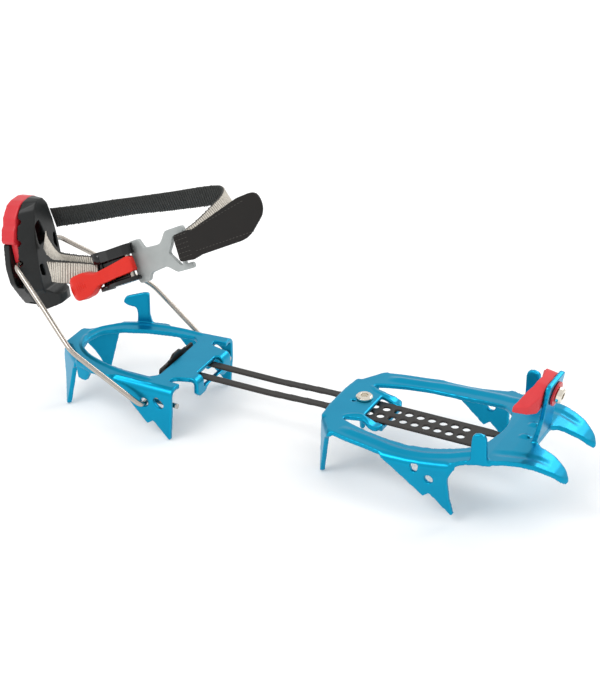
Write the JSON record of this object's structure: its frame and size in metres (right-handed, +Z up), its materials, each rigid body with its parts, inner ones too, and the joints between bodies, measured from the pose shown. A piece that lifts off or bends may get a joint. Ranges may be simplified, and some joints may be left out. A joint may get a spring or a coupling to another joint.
{
  "type": "hybrid-bail crampon",
  "caption": "Step-in climbing crampon: toe and heel spike frames on a perforated link bar, rear wire bail with heel lever, ankle strap with cam buckle, and a rubber toe stop.",
  "frame": {"origin": "middle of the base of the whole crampon's bounding box, on the plane the spike tips stand on", "axes": "+X from heel to toe, +Y across to the side with the hook tab, +Z up"},
  "size_m": [0.3916, 0.1034, 0.1791],
  "materials": {
    "heel_plate_blue": "blue anodised aluminium, satin",
    "toe_plate_blue": "blue anodised aluminium, satin",
    "spring_steel": "dark spring steel, satin",
    "stainless_wire": "drawn stainless wire, bright",
    "two_tone_webbing_far": "woven webbing, black inside and grey outside",
    "two_tone_webbing_near": "woven webbing, grey outside and black inside",
    "lock_screw_steel": "bright zinc-plated steel",
    "lock_washer_black": "black oxide steel",
    "lock_nut_steel": "zinc-plated steel",
    "bumper_coral": "coral red moulded rubber, matte",
    "stop_washer_red": "red plastic, satin",
    "stop_screw_steel": "bright zinc-plated steel",
    "stop_nut_steel": "zinc-plated steel",
    "lever_black": "black glass-filled nylon, satin",
    "adjuster_red": "red nylon, satin",
    "cover_black": "black nylon, satin",
    "rivet_left_steel": "stainless, bright",
    "rivet_right_steel": "stainless, bright",
    "buckle_black": "black nylon, satin",
    "link_grey": "light grey nylon, satin",
    "pin_steel": "stainless, bright",
    "tail_webbing_grey": "woven webbing, grey outside and black inside",
    "pull_tab_black": "black stitched rubberised tab",
    "cam_red": "red nylon with a knurled knob"
  },
  "bodies": {
    "heel": {"heel_frame": "heel_plate_blue"},
    "link": {"link_bar": "spring_steel"},
    "toe": {"toe_frame": "toe_plate_blue", "lock_screw": "lock_screw_steel", "lock_washer": "lock_washer_black", "lock_nut": "lock_nut_steel", "toe_bumper": "bumper_coral", "stop_washer": "stop_washer_red", "stop_screw": "stop_screw_steel", "stop_nut": "stop_nut_steel"},
    "bail": {"bail_wire": "stainless_wire"},
    "lever": {"lever_body": "lever_black", "lever_cover": "cover_black", "lever_rivet_left": "rivet_left_steel", "lever_rivet_right": "rivet_right_steel", "strap_far_run": "two_tone_webbing_far", "strap_heel_run": "two_tone_webbing_near", "strap_tail_loop": "tail_webbing_grey", "buckle_body": "buckle_black", "buckle_link": "link_grey", "cam_pin": "pin_steel", "pull_tab": "pull_tab_black"},
    "adjuster": {"height_adjuster": "adjuster_red"},
    "cam": {"cam_lever": "cam_red"}
  },
  "joints": [
    {"name": "link_tilt", "type": "hinge", "parent": "heel", "child": "link", "pos_m": [-0.0778, 0, 0.033], "axis": [0, 1, 0], "range_deg": [0, 6]},
    {"name": "length_slide", "type": "slide", "parent": "link", "child": "toe", "axis": [1, 0, 0], "range_m": [0, 0.0456]},
    {"name": "bail_swing", "type": "hinge", "parent": "heel", "child": "bail", "pos_m": [-0.0791, 0, 0.0224], "axis": [0, 1, 0], "range_deg": [-15, 40]},
    {"name": "lever_turn", "type": "hinge", "parent": "bail", "child": "lever", "pos_m": [-0.1805, 0, 0.0876], "axis": [0, 1, 0], "range_deg": [-45, 10]},
    {"name": "adjuster_slide", "type": "slide", "parent": "lever", "child": "adjuster", "axis": [-0.1305, 0, 0.9914], "range_m": [0, 0.008]},
    {"name": "cam_open", "type": "hinge", "parent": "lever", "child": "cam", "pos_m": [-0.08831, -0.03638, 0.11675], "axis": [-0.4657, 0.2777, 0.8402], "range_deg": [0, 95]}
  ]
}
